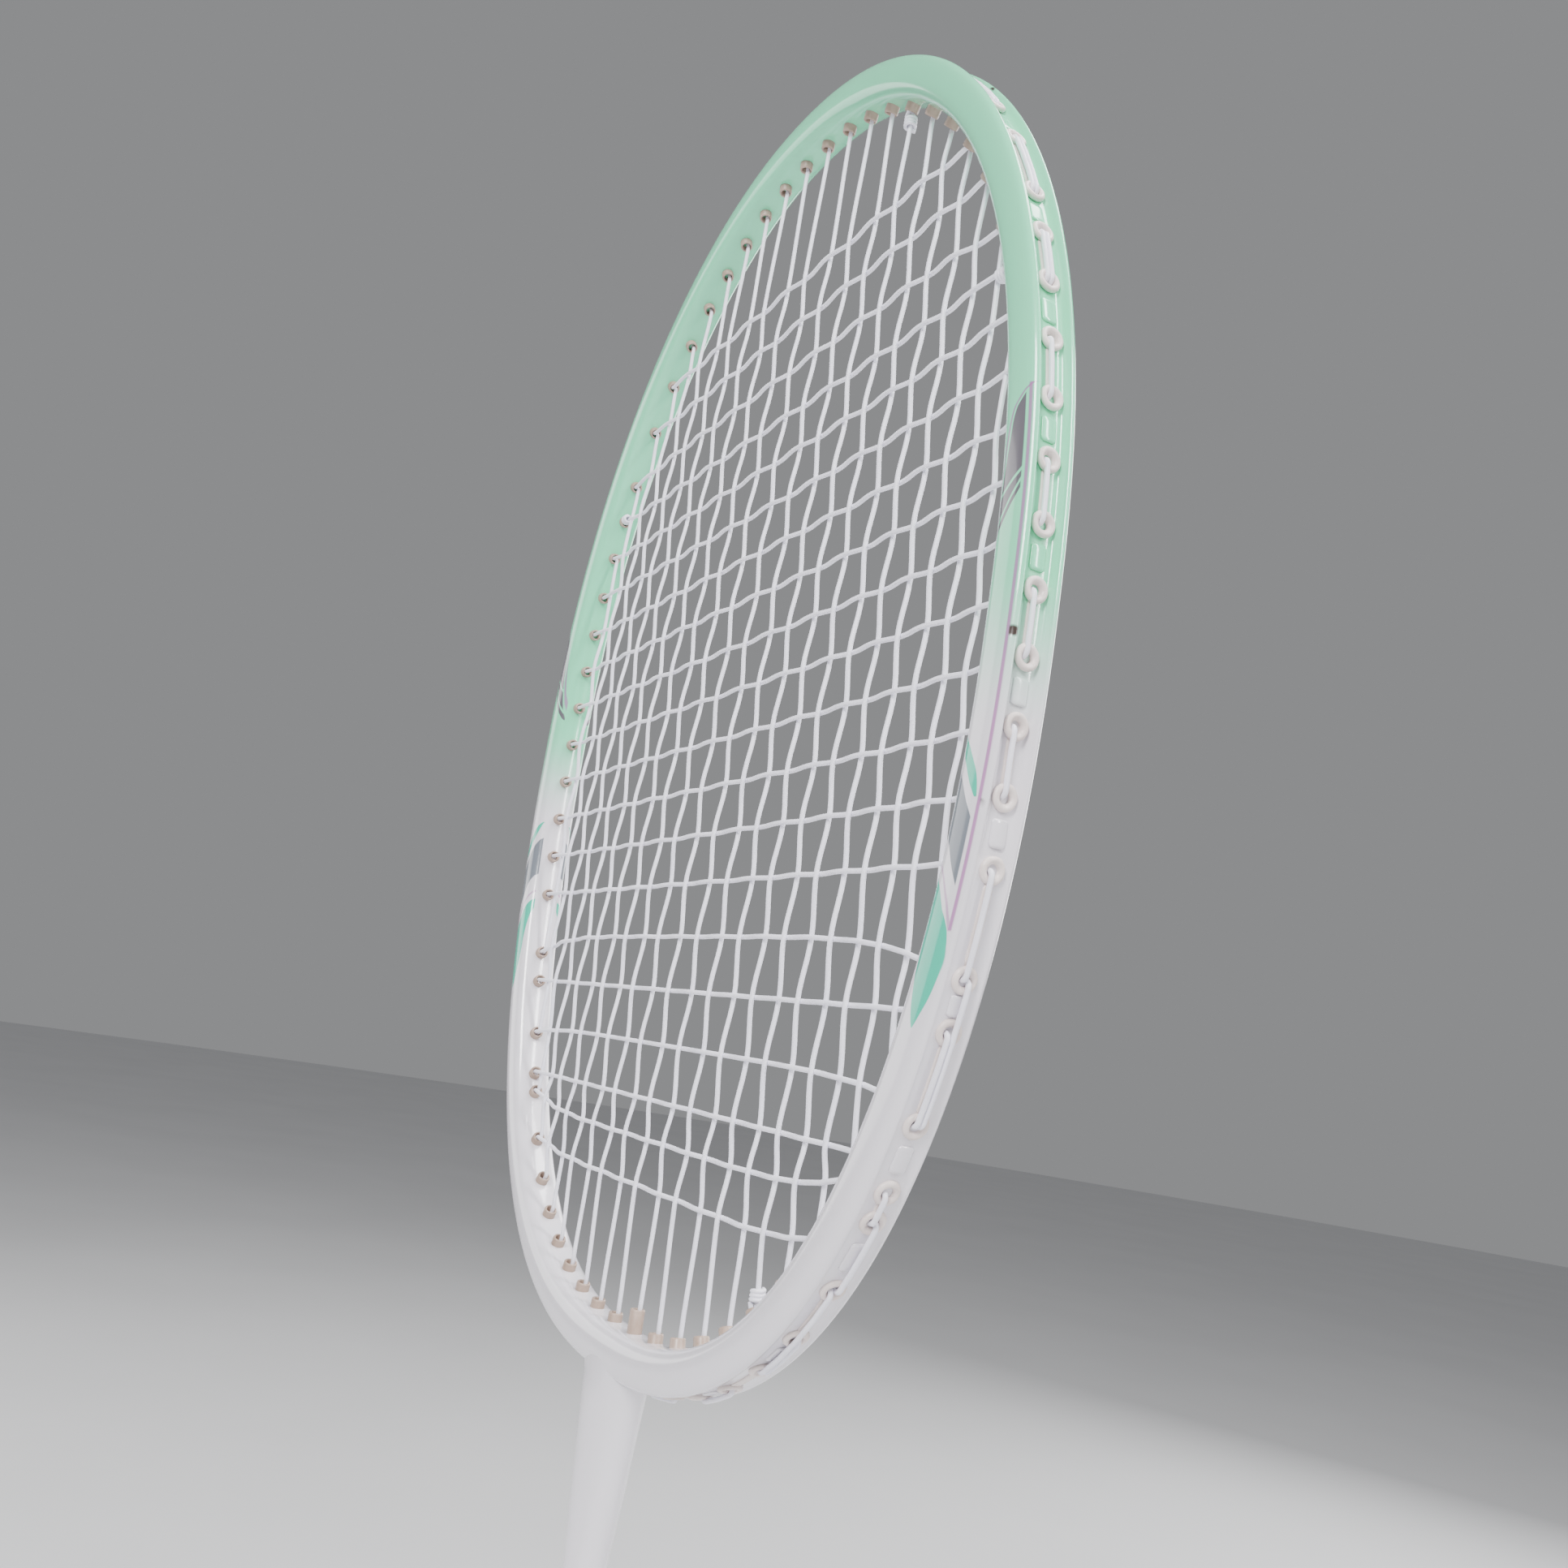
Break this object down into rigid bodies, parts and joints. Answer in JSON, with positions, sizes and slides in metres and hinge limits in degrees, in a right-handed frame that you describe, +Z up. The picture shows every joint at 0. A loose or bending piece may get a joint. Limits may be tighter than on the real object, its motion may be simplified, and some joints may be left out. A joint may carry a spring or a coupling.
{
  "type": "badminton racket",
  "caption": "Strung racket with an oval head, slim tapered shaft and wrapped eight-sided handle.",
  "frame": {"origin": "centre of the flat underside of the butt cap", "axes": "+Z up the shaft to the top of the head, +X across the head, +Y square to the string bed"},
  "size_m": [0.194, 0.0274, 0.675],
  "materials": {
    "mint_lacquer": "gloss",
    "white_lacquer": "gloss",
    "grommet_nylon": "satin",
    "string_nylon": "satin",
    "carbon": "matte",
    "cone_plastic": "gloss",
    "handle_wood": "matte",
    "grip_tape": "matte",
    "band_vinyl": "satin",
    "cap_plastic": "satin"
  },
  "bodies": {
    "root": {"head_frame": "mint_lacquer", "shaft": "white_lacquer", "throat_pin": "carbon", "handle_core": "handle_wood", "grip_wrap": "grip_tape", "finishing_band": "band_vinyl", "shaft_cone": "cone_plastic", "butt_cap": "cap_plastic", "main_string": "string_nylon", "cross_string": "string_nylon", "knot_cross_start": "string_nylon", "knot_cross_finish": "string_nylon", "knot_main_left": "string_nylon", "knot_main_right": "string_nylon", "grommet_strip_01": "grommet_nylon", "grommet_strip_02": "grommet_nylon", "grommet_strip_03": "grommet_nylon", "grommet_strip_04": "grommet_nylon", "grommet_strip_05": "grommet_nylon", "grommet_strip_06": "grommet_nylon", "grommet_strip_07": "grommet_nylon", "grommet_strip_08": "grommet_nylon", "grommet_strip_09": "grommet_nylon", "grommet_strip_10": "grommet_nylon", "grommet_strip_11": "grommet_nylon", "grommet_strip_12": "grommet_nylon", "grommet_strip_13": "grommet_nylon", "grommet_strip_14": "grommet_nylon", "grommet_strip_15": "grommet_nylon", "grommet_strip_16": "grommet_nylon", "grommet_strip_17": "grommet_nylon", "grommet_strip_18": "grommet_nylon", "grommet_strip_19": "grommet_nylon", "grommet_strip_20": "grommet_nylon", "grommet_strip_21": "grommet_nylon", "grommet_strip_22": "grommet_nylon", "grommet_strip_23": "grommet_nylon", "grommet_strip_24": "grommet_nylon", "grommet_strip_25": "grommet_nylon", "grommet_strip_26": "grommet_nylon", "grommet_strip_27": "grommet_nylon", "grommet_strip_28": "grommet_nylon", "grommet_strip_29": "grommet_nylon", "grommet_strip_30": "grommet_nylon", "grommet_strip_31": "grommet_nylon", "grommet_strip_32": "grommet_nylon", "grommet_strip_33": "grommet_nylon", "grommet_strip_34": "grommet_nylon"}
  },
  "joints": []
}
